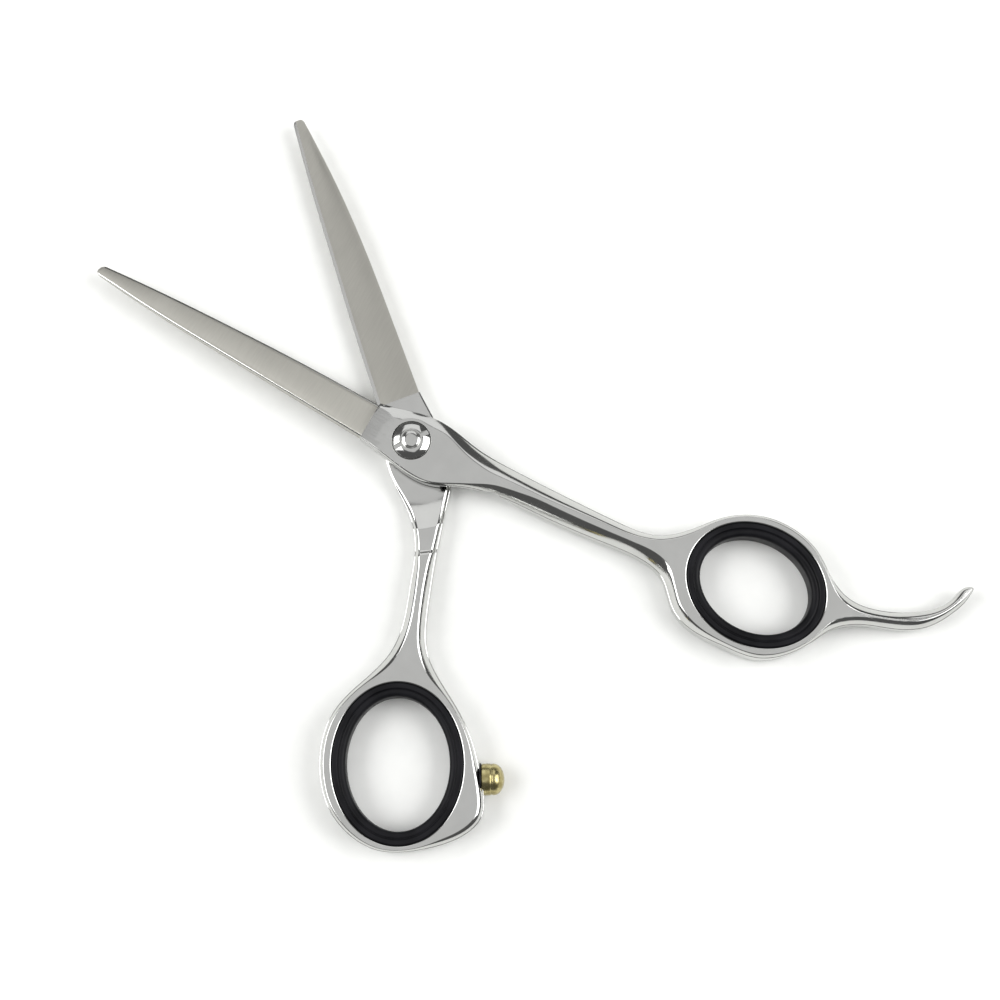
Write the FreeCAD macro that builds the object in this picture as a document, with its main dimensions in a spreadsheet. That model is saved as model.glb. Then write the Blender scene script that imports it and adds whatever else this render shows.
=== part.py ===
"""Hair cutting shears: two half-lapped levers on an adjustable pivot, with ring inserts and a stop.

Millimetres. The pivot axis is the Z axis and the plane that the shears rest on is z = 0. The finger
lever lies along X, its blade towards -X. The thumb lever is drawn closed onto it and is then turned
open about the pivot, so every piece that it carries has the same turn in its Placement.
"""

import FreeCAD, Part
import os

import Sketcher
from FreeCAD import Placement, Rotation, Vector

ORIGIN = Vector(0, 0, 0)
UP = Vector(0, 0, 1)

SIZES = {
    # How far the thumb lever is turned open at rest, in degrees.
    "open_angle": 40.4,
    # Heights of the levers: the two halves meet at the ride plane.
    "lever_height": 6.0,
    "ride_height": 3.2,
    "ride_gap": 0.05,
    "edge_round": 0.4,
    "rest_depth": 2.6,
    # Half-lap of the finger lever, cut from below, and the relief for the other lever's neck.
    "finger_lap_radius": 20.5,
    "finger_lap_foot": 22.5,
    "neck_relief": 4.8,
    # Half-lap of the thumb lever, cut from above, then the ramp up to the neck's flat pad.
    "thumb_lap_radius": 10.2,
    "ramp_radius": 13.4,
    "ramp_height": 3.55,
    "pad_radius": 16.4,
    "pad_height": 4.6,
    "pad_end_radius": 20.4,
    "shank_radius": 27.0,
    # Blades: depth at the heel and at the tip, and the hollow in the ride face.
    "heel_depth": 2.4,
    "tip_depth": 1.2,
    "hollow": 0.15,
    "spine_bevel": 0.5,
    # Finger ring: centre, and the half length and half width of its hole and of its opening.
    "finger_ring_x": 68.0,
    "finger_ring_y": 6.5,
    "finger_ring_turn": 0.0,
    "finger_hole_a": 13.0,
    "finger_hole_b": 11.0,
    "finger_opening_a": 10.5,
    "finger_opening_b": 8.45,
    # Thumb ring, in the closed position.
    "thumb_ring_x": 54.3,
    "thumb_ring_y": -22.9,
    "thumb_ring_turn": -19.5,
    "thumb_hole_a": 14.4,
    "thumb_hole_b": 11.75,
    "thumb_opening_a": 11.9,
    "thumb_opening_b": 9.3,
    # Rubber ring inserts.
    "insert_gap": 0.04,
    "insert_foot": 0.1,
    "insert_height": 5.9,
    "flange_width": 1.1,
    "flange_step": 0.3,
    # Pivot: sleeve nut, bush, washers and screw.
    "nut_flange_radius": 4.0,
    "nut_flange_depth": 0.9,
    "nut_barrel_radius": 2.4,
    "nut_barrel_top": 5.1,
    "nut_seat_gap": 0.05,
    "bush_radius": 3.0,
    "bush_gap": 0.05,
    "seat_height": 5.2,
    "seat_radius": 3.55,
    "washer_radius": 3.5,
    "glide_washer_depth": 0.35,
    "spring_washer_depth": 0.3,
    "ride_washer_radius": 4.6,
    "ride_washer_depth": 0.4,
    "screw_radius": 1.5,
    "screw_tip": 1.3,
    "head_radius": 3.45,
    "head_rim": 0.45,
    "head_height": 1.15,
    "button_radius": 1.6,
    "button_height": 0.3,
    "slot_width": 0.9,
    "slot_depth": 0.7,
    "slot_turn": 54.0,
    # Stop: a brass bumper on a rubber washer, in a tapped hole in the thumb ring's boss.
    "bumper_x": 62.08,
    "bumper_y": -10.25,
    "bumper_turn": 70.0,
    "bumper_radius": 2.85,
    "bumper_length": 4.45,
    "bumper_washer_radius": 3.0,
    "bumper_washer_depth": 0.3,
    "stud_radius": 1.0,
    "stud_length": 2.4,
    "stud_gap": 0.05,
}

# Finger lever, round the outside of hub, shank, ring and finger rest. Both halves of the outline
# start at the heel of the blade and end at the tip of the finger rest.
FINGER_UPPER = [
    (-8.6, 3.4), (-4.0, 4.6), (0.5, 5.7), (4.8, 5.8), (11.8, 4.7), (24.5, 4.6), (41.0, 5.1),
    (47.7, 6.2), (52.2, 9.4), (56.8, 14.6), (62.5, 18.2), (69.0, 19.1), (75.0, 17.5), (79.7, 14.3),
    (84.5, 12.6), (90.1, 13.5), (96.6, 16.9), (100.8, 22.0), (102.5, 25.2),
]
FINGER_LOWER = [
    (-8.6, -4.2), (-3.0, -5.0), (2.0, -5.8), (6.4, -5.6), (12.0, -3.3), (19.3, -1.3), (27.4, -0.7),
    (39.3, 0.3), (47.3, 0.9), (52.2, -0.2), (56.6, -4.3), (60.5, -6.1), (68.0, -6.2), (74.3, -5.2),
    (78.8, -1.9), (81.7, 2.3), (84.0, 6.2), (88.1, 9.3), (94.1, 11.7), (98.8, 14.7), (102.2, 20.0),
    (103.3, 24.6),
]
# Thumb lever, closed, from the spine side of the hub round the ring to the edge side of the hub.
# The boss that carries the stop is the corner at the end of the ring's upper side.
THUMB_OUTLINE = [
    (-8.8, 4.5), (-3.0, 5.5), (2.0, 6.0), (6.5, 5.6), (11.9, 2.8), (20.4, -2.6), (27.0, -6.4),
    (32.3, -9.2), (37.2, -10.9), (42.5, -10.7), (48.9, -9.5), (56.1, -9.1), (61.5, -9.8),
    (65.6, -10.7), (68.6, -12.4), (70.1, -15.4), (70.5, -19.6), (69.5, -26.2), (67.2, -31.6),
    (62.9, -35.3), (57.2, -37.1), (51.4, -36.6), (46.2, -34.5), (42.2, -31.3), (39.6, -27.2),
    (37.7, -22.4), (35.2, -17.4), (31.8, -13.9), (22.3, -8.1), (17.1, -5.9), (12.4, -5.2),
    (3.9, -5.8), (-3.0, -4.9), (-8.8, -3.4),
]

# Where the other lever's neck passes under the finger lever's shank when the shears are closed.
NECK_RELIEF = [(9.2, 4.8), (13.4, 2.3), (17.5, -0.2), (21.0, -2.2), (21.0, -5.0), (8.5, -7.0)]

# Blade sections: place along X, cutting edge and spine, and share of the heel's depth.
FINGER_BLADE = [
    (-68.4, 2.2, 0.1, 0.0), (-57.0, 2.85, -1.1, 0.45), (-40.0, 3.4, -2.2, 0.8),
    (-25.0, 3.6, -3.0, 0.95), (-5.0, 3.3, -4.0, 1.0),
]
THUMB_BLADE = [
    (-67.7, 0.75, 2.75, 0.0), (-56.0, -0.4, 4.0, 0.45), (-40.0, -1.6, 4.85, 0.8),
    (-25.0, -2.6, 4.85, 0.95), (-5.0, -3.6, 4.6, 1.0),
]

doc = FreeCAD.newDocument("shears")
sheet = doc.addObject("Spreadsheet::Sheet", "sizes")
for row, (alias, value) in enumerate(SIZES.items(), start=1):
    sheet.set("A%d" % row, alias.replace("_", " "))
    sheet.set("B%d" % row, str(value))
    sheet.setAlias("B%d" % row, alias)
doc.recompute()


def size(alias):
    """The number held in the sheet's cell."""
    return float(sheet.get(alias))


def origin_plane(body, role):
    """One of a body's own three origin planes."""
    return next(f for f in body.Origin.OriginFeatures if f.Role == role)


def new_body(label):
    """An empty body whose label names its file."""
    body = doc.addObject("PartDesign::Body", label)
    body.Label = label
    return body


def new_sketch(body, name, role="XY_Plane", offset=0.0):
    """A sketch on one of the body's planes, raised along the plane's normal."""
    sketch = body.newObject("Sketcher::SketchObject", name)
    sketch.AttachmentSupport = [(origin_plane(body, role), "")]
    sketch.MapMode = "FlatFace"
    sketch.AttachmentOffset = Placement(Vector(0, 0, offset), Rotation())
    return sketch


def flat(point):
    """A point of a sketch from a pair of numbers."""
    return Vector(point[0], point[1], 0)


def smooth(points):
    """One smooth curve through the points."""
    curve = Part.BSplineCurve()
    curve.interpolate([flat(p) for p in points])
    return curve


def straight_loop(sketch, points):
    """A closed polygon."""
    for start, end in zip(points, points[1:] + points[:1]):
        sketch.addGeometry(Part.LineSegment(flat(start), flat(end)), False)


def bound_circle(sketch, expression, centre=(0, 0)):
    """A circle whose radius follows the sheet."""
    index = sketch.addGeometry(Part.Circle(flat(centre), UP, 1.0), False)
    constraint = sketch.addConstraint(Sketcher.Constraint("Radius", index, 1.0))
    sketch.setExpression("Constraints[%d]" % constraint, expression)


def ring_ellipse(sketch, ring, half_length, half_width):
    """An ellipse on a ring's centre, turned with the ring."""
    turn = Rotation(UP, size(ring + "_ring_turn"))
    centre = Vector(size(ring + "_ring_x"), size(ring + "_ring_y"), 0)
    end = centre + turn.multVec(Vector(half_length, 0, 0))
    side = centre + turn.multVec(Vector(0, half_width, 0))
    sketch.addGeometry(Part.Ellipse(end, side, centre), False)


def pad(body, sketch, name, expression):
    """Material from the sketch upwards."""
    feature = body.newObject("PartDesign::Pad", name)
    feature.Profile = sketch
    feature.setExpression("Length", expression)
    doc.recompute()
    return feature


def pocket_up(body, sketch, name, expression=None):
    """A cut from the sketch upwards, right through where no depth is given."""
    before = body.Shape.Volume
    feature = body.newObject("PartDesign::Pocket", name)
    feature.Profile = sketch
    feature.Reversed = True
    if expression:
        feature.setExpression("Length", expression)
    else:
        feature.Type = "ThroughAll"
    doc.recompute()
    if body.Shape.Volume >= before:
        raise RuntimeError("%s cuts nothing" % name)
    return feature


def turned(body, kind, name, points, role="XZ_Plane", axis="V_Axis"):
    """A full turn of a polygon about one of its sketch's axes."""
    before = body.Shape.Volume if kind == "Groove" else 0.0
    sketch = new_sketch(body, name + "_profile", role)
    straight_loop(sketch, points)
    feature = body.newObject("PartDesign::" + kind, name)
    feature.Profile = sketch
    feature.ReferenceAxis = (sketch, [axis])
    feature.Angle = 360
    doc.recompute()
    if kind == "Groove" and body.Shape.Volume >= before:
        raise RuntimeError("%s cuts nothing" % name)
    return feature


def blade(body, name, stations, ride, side, outward):
    """A loft of blade sections. The outer face swells and the ride face is ground hollow.

    side is +1 where the spine is below the edge in Y, and outward is +1 where the outer face is up.
    """
    sections = []
    for number, (x, edge, spine, share) in enumerate(stations):
        depth = size("tip_depth") + share * (size("heel_depth") - size("tip_depth"))
        bevel = size("spine_bevel")
        edge_point = (edge, ride)
        inner = (spine, ride)
        outer = (spine, ride + outward * (depth - bevel))
        crown = (spine + side * bevel, ride + outward * depth)
        middle = (edge + spine) / 2
        swell = (middle, ride + outward * depth * 0.78)
        hollow = (middle, ride + outward * size("hollow"))
        sketch = new_sketch(body, "%s_section_%d" % (name, number), "YZ_Plane", x)
        sketch.addGeometry(Part.LineSegment(flat(inner), flat(outer)), False)
        sketch.addGeometry(Part.LineSegment(flat(outer), flat(crown)), False)
        sketch.addGeometry(Part.Arc(flat(crown), flat(swell), flat(edge_point)), False)
        sketch.addGeometry(Part.Arc(flat(edge_point), flat(hollow), flat(inner)), False)
        sections.append(sketch)
    doc.recompute()
    loft = body.newObject("PartDesign::AdditiveLoft", name)
    loft.Profile = sections[0]
    loft.Sections = sections[1:]
    doc.recompute()
    return loft


def round_rim(body, base, name, expression):
    """Rounds the edges round the top and the bottom of a pad."""
    heights = (base.Shape.BoundBox.ZMin, base.Shape.BoundBox.ZMax)
    edges = []
    for number, edge in enumerate(base.Shape.Edges, start=1):
        box = edge.BoundBox
        if box.ZLength < 1e-6 and min(abs(box.ZMin - z) for z in heights) < 1e-6:
            edges.append("Edge%d" % number)
    fillet = body.newObject("PartDesign::Fillet", name)
    fillet.Base = (base, edges)
    fillet.setExpression("Radius", expression)
    doc.recompute()
    return fillet


def cut_cylinder(body, name, radius, length, placement):
    """A drilled hole along the placement's Z."""
    before = body.Shape.Volume
    cylinder = body.newObject("PartDesign::SubtractiveCylinder", name)
    cylinder.setExpression("Radius", radius)
    cylinder.setExpression("Height", length)
    cylinder.Placement = placement
    doc.recompute()
    if body.Shape.Volume >= before:
        raise RuntimeError("%s cuts nothing" % name)
    return cylinder


def drilled(body, name, radius, foot=0.0):
    """A round hole about the pivot, from a height to the top of the lever."""
    sketch = new_sketch(body, name + "_circle", "XY_Plane", foot)
    bound_circle(sketch, radius)
    return pocket_up(body, sketch, name)


def turn_open(body):
    """Turns a piece of the thumb half from closed to the rest pose."""
    body.Placement = Placement(ORIGIN, Rotation(UP, -size("open_angle")))
    body.setExpression("Placement.Rotation.Angle", "-sizes.open_angle * 1 deg")


def finger_lever():
    """Finger half: blade, hub, shank, ring and finger rest in one forging."""
    body = new_body("finger_lever")
    outline = new_sketch(body, "finger_outline")
    outline.addGeometry(smooth(FINGER_UPPER), False)
    rest_tip = [FINGER_UPPER[-1], (103.2, 25.3), FINGER_LOWER[-1]]
    outline.addGeometry(Part.Arc(*[flat(p) for p in rest_tip]), False)
    outline.addGeometry(smooth(FINGER_LOWER), False)
    outline.addGeometry(Part.LineSegment(flat(FINGER_LOWER[0]), flat(FINGER_UPPER[0])), False)
    forging = pad(body, outline, "finger_forging", "sizes.lever_height")
    round_rim(body, forging, "finger_rim", "sizes.edge_round")

    hole = new_sketch(body, "finger_hole")
    ring_ellipse(hole, "finger", size("finger_hole_a"), size("finger_hole_b"))
    pocket_up(body, hole, "finger_ring")

    ride = size("ride_height")
    turned(body, "Groove", "finger_lap", [
        (0, -1), (size("finger_lap_foot") + 1, -1), (size("finger_lap_foot"), 0),
        (size("finger_lap_radius"), ride), (0, ride),
    ])
    relief = new_sketch(body, "neck_relief")
    straight_loop(relief, NECK_RELIEF)
    pocket_up(body, relief, "neck_clearance", "sizes.neck_relief")

    # The finger rest thins from both faces towards its tip.
    top = size("lever_height")
    thin = (top - size("rest_depth")) / 2
    for name, face, tip in (("rest_top", top + 1, top - thin), ("rest_foot", -1, thin)):
        level = top if face > 0 else 0
        side = new_sketch(body, name + "_side", "XZ_Plane")
        straight_loop(side, [(84, level), (104.5, tip), (104.5, face), (84, face)])
        cut = body.newObject("PartDesign::Pocket", name)
        cut.Profile = side
        cut.Type = "ThroughAll"
        cut.Midplane = True
        doc.recompute()

    blade(body, "finger_blade", FINGER_BLADE, ride, 1, 1)
    drilled(body, "bush_bore", "sizes.bush_radius")
    drilled(body, "screw_seat", "sizes.seat_radius", size("seat_height"))
    return body


def thumb_lever():
    """Thumb half: blade, hub, neck, shank, ring and the boss for the stop."""
    body = new_body("thumb_lever")
    outline = new_sketch(body, "thumb_outline")
    outline.addGeometry(smooth(THUMB_OUTLINE), False)
    outline.addGeometry(Part.LineSegment(flat(THUMB_OUTLINE[-1]), flat(THUMB_OUTLINE[0])), False)
    forging = pad(body, outline, "thumb_forging", "sizes.lever_height")
    round_rim(body, forging, "thumb_rim", "sizes.edge_round")

    hole = new_sketch(body, "thumb_hole")
    ring_ellipse(hole, "thumb", size("thumb_hole_a"), size("thumb_hole_b"))
    pocket_up(body, hole, "thumb_ring")

    ride = size("ride_height") - size("ride_gap")
    top = size("lever_height") + 1
    turned(body, "Groove", "thumb_lap", [
        (0, top), (0, ride), (size("thumb_lap_radius"), ride),
        (size("ramp_radius"), size("ramp_height")), (size("pad_radius"), size("pad_height")),
        (size("pad_end_radius"), size("pad_height")), (size("shank_radius"), size("lever_height")),
        (size("shank_radius"), top),
    ])
    blade(body, "thumb_blade", THUMB_BLADE, ride, -1, -1)

    drilled(body, "nut_bore", "sizes.nut_barrel_radius + sizes.nut_seat_gap")
    washer_seat = ride - size("ride_washer_depth")
    drilled(body, "washer_seat", "sizes.ride_washer_radius + sizes.nut_seat_gap", washer_seat)
    flange = new_sketch(body, "nut_seat_circle")
    bound_circle(flange, "sizes.nut_flange_radius + sizes.nut_seat_gap")
    pocket_up(body, flange, "nut_seat", "sizes.nut_flange_depth")

    # A flat seat and a tapped hole for the stop, along the stop's own axis.
    outward = Rotation(UP, size("bumper_turn")).multVec(Vector(1, 0, 0))
    seat = Vector(size("bumper_x"), size("bumper_y"), size("lever_height") / 2)
    facing = Rotation(Vector(0, 0, 1), outward)
    cut_cylinder(body, "stop_seat", "sizes.bumper_washer_radius + 0.2", "4", Placement(seat, facing))
    bottom = seat - outward * (size("stud_length") + 0.2)
    cut_cylinder(body, "stop_hole", "sizes.stud_radius + sizes.stud_gap", "5", Placement(bottom, facing))
    turn_open(body)
    return body


def ring_insert(label, ring):
    """Soft liner: a stepped oval tube, its flange flush with the lever's faces."""
    body = new_body(label)
    gap = size("insert_gap")
    hole_a = size(ring + "_hole_a") - gap
    hole_b = size(ring + "_hole_b") - gap
    open_a = size(ring + "_opening_a")
    open_b = size(ring + "_opening_b")
    flange = size("flange_width")
    step = size("flange_step")

    tube = new_sketch(body, label + "_tube", "XY_Plane", size("insert_foot") + step)
    ring_ellipse(tube, ring, hole_a, hole_b)
    ring_ellipse(tube, ring, open_a, open_b)
    pad(body, tube, label + "_wall", "sizes.insert_height - sizes.insert_foot - 2 * sizes.flange_step")
    lips = new_sketch(body, label + "_lips", "XY_Plane", size("insert_foot"))
    ring_ellipse(lips, ring, hole_a, hole_b)
    ring_ellipse(lips, ring, hole_a - flange, hole_b - flange)
    pad(body, lips, label + "_flange", "sizes.insert_height - sizes.insert_foot")
    return body


def washer(label, foot, depth, outer, inner):
    """A flat ring about the pivot."""
    disc = doc.addObject("Part::Cylinder", label + "_disc")
    hole = doc.addObject("Part::Cylinder", label + "_hole")
    for cylinder, radius in ((disc, outer), (hole, inner)):
        cylinder.setExpression("Radius", radius)
        cylinder.setExpression("Height", depth)
        cylinder.setExpression("Placement.Base.z", foot)
    ring = doc.addObject("Part::Cut", label)
    ring.Base = disc
    ring.Tool = hole
    ring.Label = label
    return ring


def pivot_nut():
    """Sleeve nut: a flush flange under the thumb lever and a barrel that both levers turn on."""
    body = new_body("pivot_nut")
    flange = size("nut_flange_radius")
    depth = size("nut_flange_depth") - size("nut_seat_gap")
    barrel = size("nut_barrel_radius")
    thread = size("screw_radius") + size("nut_seat_gap")
    floor = size("screw_tip") - 0.3
    turned(body, "Revolution", "nut_turning", [
        (0, 0), (flange, 0), (flange, depth), (barrel, depth), (barrel, size("nut_barrel_top")),
        (thread, size("nut_barrel_top")), (thread, floor), (0, floor),
    ])
    return body


def pivot_screw():
    """Tension screw: a shallow domed head with a raised button, cut across by a key slot."""
    body = new_body("pivot_screw")
    shank = size("screw_radius")
    under = size("seat_height") + size("glide_washer_depth") + size("spring_washer_depth") + 0.02
    rim = size("head_radius")
    crown = under + size("head_height")
    button = size("button_radius")
    turned(body, "Revolution", "screw_turning", [
        (0, size("screw_tip")), (shank, size("screw_tip")), (shank, under), (rim, under),
        (rim, under + size("head_rim")), (rim - 0.9, crown - 0.22), (button + 0.15, crown),
        (button, crown - 0.1), (button - 0.1, crown + size("button_height") * 0.6),
        (button * 0.6, crown + size("button_height")), (0, crown + size("button_height")),
    ])
    slot = new_sketch(body, "slot_outline", "XY_Plane", crown - size("slot_depth"))
    along = Rotation(UP, size("slot_turn"))
    half = size("slot_width") / 2
    for end in (1, -1):
        corners = [(button + 0.2, -half), (rim + 1, -half), (rim + 1, half), (button + 0.2, half)]
        loop = [along.multVec(Vector(end * x, y, 0)) for x, y in corners]
        straight_loop(slot, [(p.x, p.y) for p in loop])
    pocket_up(body, slot, "key_slot")
    return body


def bumper():
    """Brass stop: a stud, a collar, a shallow groove and a domed cap, about the local X axis."""
    body = new_body("bumper")
    foot = size("bumper_washer_depth")
    tip = size("bumper_length")
    radius = size("bumper_radius")
    stud = size("stud_radius")
    turned(body, "Revolution", "bumper_turning", [
        (-size("stud_length"), 0), (-size("stud_length"), stud), (foot, stud),
        (foot, radius - 0.15), (foot + 0.15, radius), (foot + 1.5, radius), (foot + 1.75, radius - 0.3),
        (foot + 2.0, radius), (tip - 1.1, radius), (tip - 0.5, radius - 0.45), (tip - 0.12, radius - 1.3),
        (tip, 0),
    ], "XY_Plane", "H_Axis")
    place_stop(body)
    return body


def bumper_washer():
    """Rubber washer under the brass stop."""
    body = new_body("bumper_washer")
    outer = size("bumper_washer_radius")
    inner = size("stud_radius") + size("stud_gap")
    turned(body, "Revolution", "washer_turning", [
        (0, inner), (0, outer), (size("bumper_washer_depth"), outer), (size("bumper_washer_depth"), inner),
    ], "XY_Plane", "H_Axis")
    place_stop(body)
    return body


def place_stop(body):
    """Puts a piece of the stop on its seat, with the thumb lever turned open."""
    body.Placement = Placement(ORIGIN, Rotation(UP, 1.0))
    opened = "sizes.open_angle * 1 deg"
    body.setExpression(
        "Placement.Base.x", "sizes.bumper_x * cos(%s) + sizes.bumper_y * sin(%s)" % (opened, opened)
    )
    body.setExpression(
        "Placement.Base.y", "sizes.bumper_y * cos(%s) - sizes.bumper_x * sin(%s)" % (opened, opened)
    )
    body.setExpression("Placement.Base.z", "sizes.lever_height / 2")
    body.setExpression("Placement.Rotation.Angle", "(sizes.bumper_turn - sizes.open_angle) * 1 deg")


pieces = [
    finger_lever(),
    thumb_lever(),
    ring_insert("finger_ring_insert", "finger"),
    ring_insert("thumb_ring_insert", "thumb"),
    pivot_nut(),
    pivot_screw(),
    washer(
        "pivot_bush", "sizes.ride_height", "sizes.seat_height - sizes.ride_height",
        "sizes.bush_radius", "sizes.nut_barrel_radius + sizes.bush_gap",
    ),
    washer(
        "glide_washer", "sizes.seat_height", "sizes.glide_washer_depth", "sizes.washer_radius",
        "sizes.screw_radius + sizes.nut_seat_gap",
    ),
    washer(
        "spring_washer", "sizes.seat_height + sizes.glide_washer_depth", "sizes.spring_washer_depth",
        "sizes.washer_radius", "sizes.screw_radius + sizes.nut_seat_gap",
    ),
    washer(
        "ride_washer", "sizes.ride_height - sizes.ride_gap - sizes.ride_washer_depth",
        "sizes.ride_washer_depth", "sizes.ride_washer_radius",
        "sizes.nut_barrel_radius + sizes.nut_seat_gap",
    ),
    bumper(),
    bumper_washer(),
]
turn_open(doc.getObject("thumb_ring_insert"))
doc.recompute()

for item in doc.Objects:
    if "Invalid" in item.State or "Error" in item.State:
        raise RuntimeError("%s failed: %s" % (item.Name, item.State))

os.makedirs("parts", exist_ok=True)
for piece in pieces:
    shape = piece.Shape
    if shape.isNull() or not shape.isValid():
        raise RuntimeError("%s has no valid shape" % piece.Label)
    shape.exportStep("parts/%s.step" % piece.Label)
    print("%-20s solids %d volume %.1f mm3" % (piece.Label, len(shape.Solids), shape.Volume))
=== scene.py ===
import math

import bmesh
import bpy
import numpy as np
from mathutils import Matrix, Vector
from mathutils.geometry import delaunay_2d_cdt


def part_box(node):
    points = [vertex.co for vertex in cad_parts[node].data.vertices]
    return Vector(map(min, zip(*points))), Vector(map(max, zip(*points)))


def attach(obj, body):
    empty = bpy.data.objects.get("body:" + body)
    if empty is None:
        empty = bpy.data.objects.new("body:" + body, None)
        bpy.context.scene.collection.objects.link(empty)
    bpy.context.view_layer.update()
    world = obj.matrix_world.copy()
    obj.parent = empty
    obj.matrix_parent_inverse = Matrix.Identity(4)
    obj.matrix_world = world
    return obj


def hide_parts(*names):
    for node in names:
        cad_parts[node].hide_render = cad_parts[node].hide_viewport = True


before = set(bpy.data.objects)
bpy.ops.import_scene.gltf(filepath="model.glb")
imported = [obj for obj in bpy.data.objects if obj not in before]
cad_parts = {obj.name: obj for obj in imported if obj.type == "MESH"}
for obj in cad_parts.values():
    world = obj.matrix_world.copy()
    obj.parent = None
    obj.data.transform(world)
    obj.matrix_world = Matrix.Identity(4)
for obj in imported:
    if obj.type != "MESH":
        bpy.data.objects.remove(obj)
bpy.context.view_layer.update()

# Every length below is in millimetres, in the row frame. Meshes are scaled to metres as they are made.
MM = 0.001

# Turn of the thumb half from closed to the rest pose.
OPEN_ANGLE = math.radians(-40.4)
# Height of the levers' tops, of the finger lever's ride face, and of the thumb blade's and hub's.
TOP = 6.0
RIDE = 3.2
THUMB_RIDE = 3.14
THUMB_FACE = 3.15
# Radii of the bores at the pivot.
FINGER_BORE, THUMB_BORE = 3.6, 4.1

# Handle outlines, from the heel of the blade round the lever and back: x, y, width of the slope
# inside the outline, and how far the top falls across that slope.
FINGER_OUTLINE = [
    (-8.6, 3.6, 5.2, 0.45), (-4.0, 4.6, 3.3, 0.5), (0.5, 5.7, 2.2, 0.6), (4.8, 5.8, 1.75, 0.8),
    (11.8, 4.7, 2.6, 1.5), (17.6, 4.5, 3.2, 2.0), (24.5, 4.6, 2.45, 2.1), (41.0, 5.1, 1.65, 1.9),
    (47.7, 6.2, 1.3, 1.4), (52.2, 9.4, 1.1, 1.1), (56.8, 14.6, 0.75, 0.7), (62.5, 18.2, 0.7, 0.6),
    (69.0, 19.1, 0.7, 0.6), (75.0, 17.5, 0.75, 0.7), (79.7, 14.3, 1.0, 1.0), (84.5, 12.6, 1.6, 1.5),
    (90.1, 13.5, 1.6, 1.4), (96.6, 16.9, 1.6, 1.2), (100.8, 22.0, 1.2, 0.8), (102.5, 25.2, 0.6, 0.5),
    (103.15, 25.25, 0.5, 0.5), (103.3, 24.6, 0.6, 0.5), (102.2, 20.0, 1.1, 0.8), (98.8, 14.7, 1.5, 1.2),
    (94.1, 11.7, 1.7, 1.4), (88.1, 9.3, 1.3, 1.2), (84.0, 6.2, 1.5, 1.2), (81.7, 2.3, 0.9, 0.9),
    (78.8, -1.9, 0.8, 0.8), (74.3, -5.2, 0.8, 0.8), (68.0, -6.2, 0.95, 1.0), (60.5, -6.1, 2.0, 1.7),
    (56.6, -4.3, 2.3, 2.0), (52.2, -0.2, 2.4, 2.1), (47.3, 0.9, 2.4, 2.1), (39.3, 0.3, 2.2, 2.1),
    (27.4, -0.7, 2.5, 2.1), (19.3, -1.3, 1.8, 1.6), (12.0, -3.3, 0.6, 0.6), (6.4, -5.6, 0.4, 0.4),
    (2.0, -5.8, 0.5, 0.4), (-3.0, -5.0, 0.45, 0.4), (-8.6, -4.2, 0.4, 0.35),
]
# The same for the thumb lever, closed.
THUMB_OUTLINE = [
    (-8.8, 4.8, 0.3, 0.1), (-3.0, 5.5, 0.3, 0.1), (2.0, 6.0, 0.3, 0.1), (6.5, 5.6, 0.4, 0.15),
    (11.9, 2.8, 1.0, 0.7), (19.9, -2.3, 1.0, 0.8), (22.7, -4.0, 1.4, 1.3), (27.0, -6.4, 1.6, 1.6),
    (32.3, -9.2, 1.5, 1.6), (37.2, -10.9, 1.6, 1.6), (42.5, -10.7, 1.6, 1.5), (48.9, -9.5, 1.2, 1.0),
    (56.1, -9.1, 0.9, 0.8), (61.5, -9.8, 1.2, 0.9), (65.6, -10.7, 1.3, 0.9), (68.6, -12.4, 1.2, 0.9),
    (70.1, -15.4, 1.2, 0.9), (70.5, -19.6, 1.1, 0.9), (69.5, -26.2, 0.9, 0.8), (67.2, -31.6, 0.8, 0.7),
    (62.9, -35.3, 0.8, 0.7), (57.2, -37.1, 0.8, 0.7), (51.4, -36.6, 0.9, 0.8), (46.2, -34.5, 0.9, 0.9),
    (42.2, -31.3, 0.9, 0.9), (39.6, -27.2, 1.0, 1.0), (37.7, -22.4, 1.3, 1.2), (35.2, -17.4, 1.6, 1.5),
    (31.8, -13.9, 1.6, 1.6), (24.6, -9.5, 1.5, 1.5), (22.0, -8.0, 1.3, 1.2), (19.2, -6.6, 0.9, 0.8),
    (12.4, -5.2, 0.9, 0.6), (3.9, -5.8, 0.4, 0.15), (-3.0, -4.9, 0.3, 0.1), (-8.8, -3.75, 0.3, 0.1),
]
# Blade sections: x, cutting edge, spine, and depth of the blade.
FINGER_BLADE = [
    (-68.4, 2.2, 0.1, 1.2), (-57.0, 2.85, -1.1, 1.74), (-40.0, 3.4, -2.2, 2.16), (-25.0, 3.6, -3.0, 2.34),
    (-5.0, 3.3, -4.0, 2.4),
]
THUMB_BLADE = [
    (-67.7, 0.75, 2.75, 1.2), (-56.0, -0.4, 4.0, 1.74), (-40.0, -1.6, 4.85, 2.16), (-25.0, -2.6, 4.85, 2.34),
    (-5.0, -3.6, 4.6, 2.4),
]
# Rings: centre, turn in degrees, half axes of the hole and of the opening.
FINGER_RING = {"centre": (68.0, 6.5), "turn": 0.0, "hole": (13.0, 11.0), "opening": (10.5, 8.45)}
THUMB_RING = {"centre": (54.3, -22.9), "turn": -19.5, "hole": (14.4, 11.75), "opening": (11.9, 9.3)}
# Foot of the stop's axis on the thumb ring's boss, and the way it points, closed.
STOP_SEAT = (62.08, -10.25)
STOP_TURN = math.radians(70.0)
# Relief under the finger lever, where the thumb lever's neck passes when closed, and its height.
NECK_RELIEF = [(9.2, 4.8), (13.4, 2.3), (17.5, -0.2), (21.0, -2.2), (21.0, -5.0), (8.5, -7.0)]
RELIEF_TOP = 4.8


# Curves

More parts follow.
